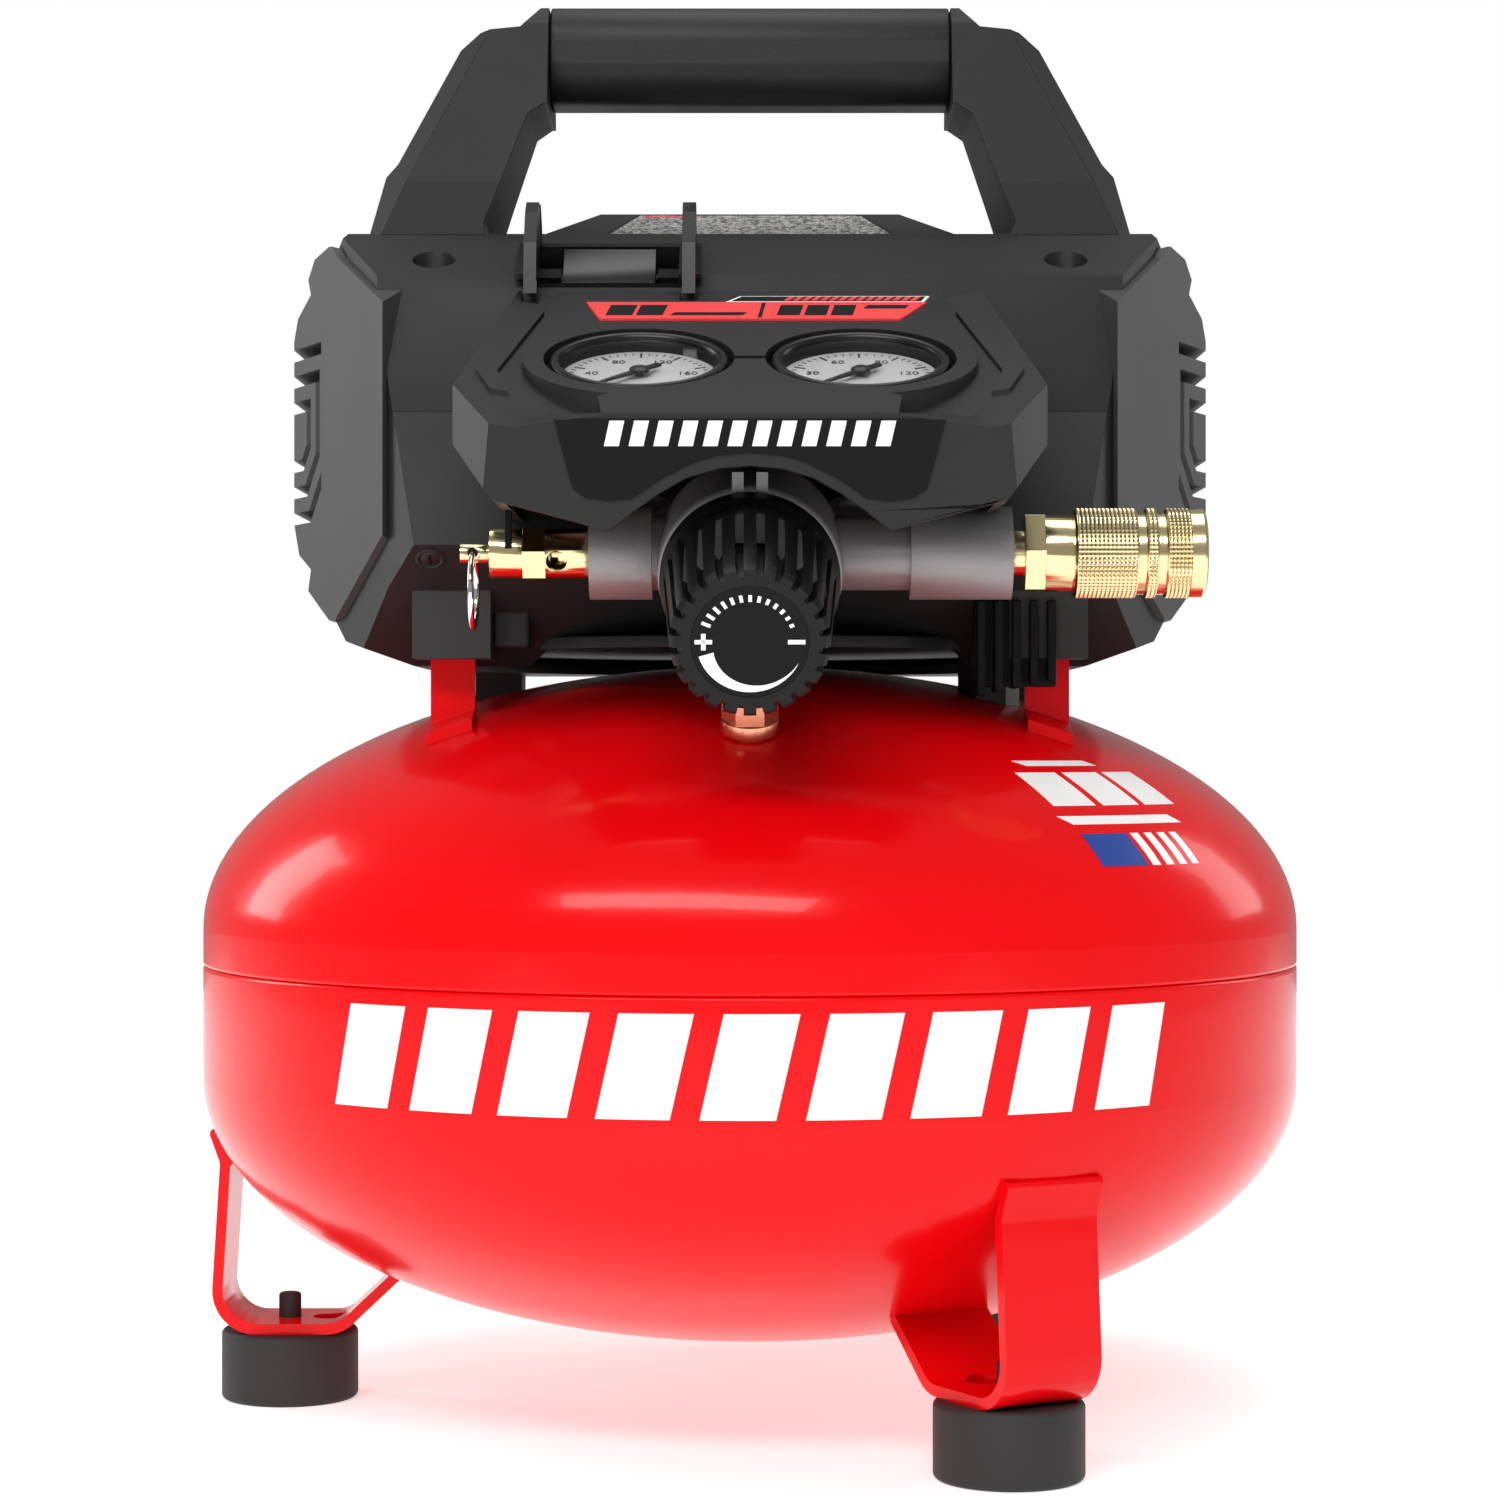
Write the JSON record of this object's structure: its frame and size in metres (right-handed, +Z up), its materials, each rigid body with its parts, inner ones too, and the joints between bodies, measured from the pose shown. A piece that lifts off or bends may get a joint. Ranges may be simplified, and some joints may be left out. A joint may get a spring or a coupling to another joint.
{
  "type": "pancake air compressor",
  "caption": "Cordless pancake air compressor: flat round tank on strap legs, oil-free pump housing with handle, gauges, regulator and quick coupler.",
  "frame": {"origin": "on the tank's axis, on the floor plane under the feet", "axes": "+Z up, -Y towards the gauges and regulator knob, +X towards the outlet coupler"},
  "size_m": [0.3112, 0.3518, 0.3984],
  "materials": {
    "red_paint": "glossy powder coat",
    "foot_rubber": "matte rubber",
    "housing_plastic": "fine-textured moulded plastic",
    "dash_plastic": "fine-textured moulded plastic",
    "cover_plastic": "fine-textured moulded plastic",
    "grip_rubber": "soft overmould",
    "panel_film": "satin printed film",
    "label_film": "satin printed film",
    "inlay_grit": "pebbled texture",
    "screw_steel": "black oxide",
    "gauge_black": "semi-gloss",
    "dial_white": "printed dial",
    "needle_black": "satin",
    "lens_clear": "clear",
    "cast_alloy": "satin die-cast",
    "knob_plastic": "satin moulded plastic",
    "knob_film": "satin printed film",
    "brass": "bright turned",
    "copper": "copper plated",
    "spring_steel": "bright wire",
    "chrome_wire": "bright wire",
    "switch_plastic": "semi-gloss",
    "isolator_rubber": "matte rubber",
    "motor_steel": "satin",
    "pump_alloy": "satin die-cast",
    "fan_plastic": "moulded plastic",
    "felt": "felt",
    "board_green": "circuit board",
    "battery_plastic": "fine-textured moulded plastic",
    "button_red": "moulded plastic"
  },
  "bodies": {
    "chassis": {"tank_upper_shell": "red_paint", "tank_lower_shell": "red_paint", "leg_left": "red_paint", "leg_front": "red_paint", "leg_rear": "red_paint", "foot_left": "foot_rubber", "foot_front": "foot_rubber", "foot_rear": "foot_rubber", "tank_bung": "copper", "drain_valve_body": "brass", "mount_brackets": "red_paint", "isolators": "isolator_rubber", "housing_lower": "housing_plastic", "housing_upper": "housing_plastic", "handle_frame": "housing_plastic", "handle_grip": "grip_rubber", "side_cover_left": "cover_plastic", "side_cover_right": "cover_plastic", "dash_cover": "dash_plastic", "dash_panel": "panel_film", "gauge_label": "label_film", "switch_bezel": "switch_plastic", "top_inlay": "inlay_grit", "housing_screws": "screw_steel", "gauge_cases": "gauge_black", "gauge_dials": "dial_white", "gauge_lenses": "lens_clear", "manifold": "cast_alloy", "regulator_body": "cast_alloy", "regulator_spring": "spring_steel", "regulator_diaphragm": "foot_rubber", "safety_valve_body": "brass", "safety_valve_spring": "spring_steel", "coupler_body": "brass", "coupler_spring": "spring_steel", "check_valve": "brass", "discharge_tube": "copper", "motor_can": "motor_steel", "shaft_bearings": "motor_steel", "crankcase": "pump_alloy", "cylinder": "pump_alloy", "cylinder_head": "pump_alloy", "intake_filter": "felt", "control_board": "board_green"},
    "rocker": {"power_rocker": "switch_plastic"},
    "knob": {"regulator_knob": "knob_plastic", "knob_cap": "knob_film"},
    "adjuster": {"adjusting_nut": "brass"},
    "tank_needle": {"needle_left": "needle_black"},
    "outlet_needle": {"needle_right": "needle_black"},
    "valve_stem": {"safety_valve_stem": "brass"},
    "ring": {"pull_ring": "chrome_wire"},
    "sleeve": {"coupler_sleeve": "brass"},
    "drain_handle": {"drain_valve_handle": "brass"},
    "crank": {"crank_shaft": "motor_steel", "cooling_fan": "fan_plastic"},
    "rod": {"connecting_rod": "pump_alloy"},
    "piston": {"piston": "pump_alloy"},
    "battery": {"battery_pack": "battery_plastic"},
    "battery_button": {"battery_button": "button_red"}
  },
  "joints": [
    {"name": "rocker_tilt", "type": "hinge", "parent": "chassis", "child": "rocker", "pos_m": [-0.0382, -0.05645, 0.31385], "axis": [1, 0, 0], "range_deg": [-24, 0]},
    {"name": "knob_turn", "type": "hinge", "parent": "chassis", "child": "knob", "pos_m": [0, -0.1108, 0.2365], "axis": [0, -0.9239, -0.3827], "range_deg": [-720, 720]},
    {"name": "adjuster_slide", "type": "slide", "parent": "chassis", "child": "adjuster", "axis": [0, -0.9239, -0.3827], "range_m": [-0.003, 0.003], "deforming": ["regulator_spring"]},
    {"name": "tank_needle_turn", "type": "hinge", "parent": "chassis", "child": "tank_needle", "pos_m": [-0.0282, -0.12, 0.2859], "axis": [0, -0.4067, 0.9135], "range_deg": [-270, 0]},
    {"name": "outlet_needle_turn", "type": "hinge", "parent": "chassis", "child": "outlet_needle", "pos_m": [0.0282, -0.12, 0.2859], "axis": [0, -0.4067, 0.9135], "range_deg": [-270, 0]},
    {"name": "valve_pull", "type": "slide", "parent": "chassis", "child": "valve_stem", "axis": [-1, 0, 0], "range_m": [0, 0.003], "stiffness_N_per_m": 600, "deforming": ["safety_valve_spring"]},
    {"name": "ring_swing", "type": "hinge", "parent": "valve_stem", "child": "ring", "pos_m": [-0.071, -0.1108, 0.2365], "axis": [0, 1, 0], "range_deg": [-45, 100]},
    {"name": "sleeve_slide", "type": "slide", "parent": "chassis", "child": "sleeve", "axis": [-1, 0, 0], "range_m": [0, 0.006], "stiffness_N_per_m": 500, "deforming": ["coupler_spring"]},
    {"name": "drain_turn", "type": "hinge", "parent": "chassis", "child": "drain_handle", "pos_m": [-0.0525, 0.09093, 0.03939], "axis": [-0.1994, 0.3454, -0.917], "range_deg": [0, 90]},
    {"name": "crank_spin", "type": "hinge", "parent": "chassis", "child": "crank", "pos_m": [0, 0.0495, 0.268], "axis": [1, 0, 0], "continuous": true},
    {"name": "rod_turn", "type": "hinge", "parent": "crank", "child": "rod", "pos_m": [0.021, 0.0405, 0.268], "axis": [1, 0, 0], "continuous": true},
    {"name": "piston_slide", "type": "slide", "parent": "chassis", "child": "piston", "axis": [0, 1, 0], "range_m": [0, 0.018]},
    {"name": "battery_slide", "type": "slide", "parent": "chassis", "child": "battery", "axis": [0, 0, 1], "range_m": [0, 0.06]},
    {"name": "button_press", "type": "slide", "parent": "battery", "child": "battery_button", "axis": [0, -0.7853, -0.6192], "range_m": [0, 0.0025], "stiffness_N_per_m": 300}
  ],
  "couplings": [
    {"joint": "adjuster_slide", "follows": "knob_turn", "m_per_rad": 0.00023873},
    {"joint": "rod_turn", "follows": "crank_spin", "ratio": -1}
  ]
}
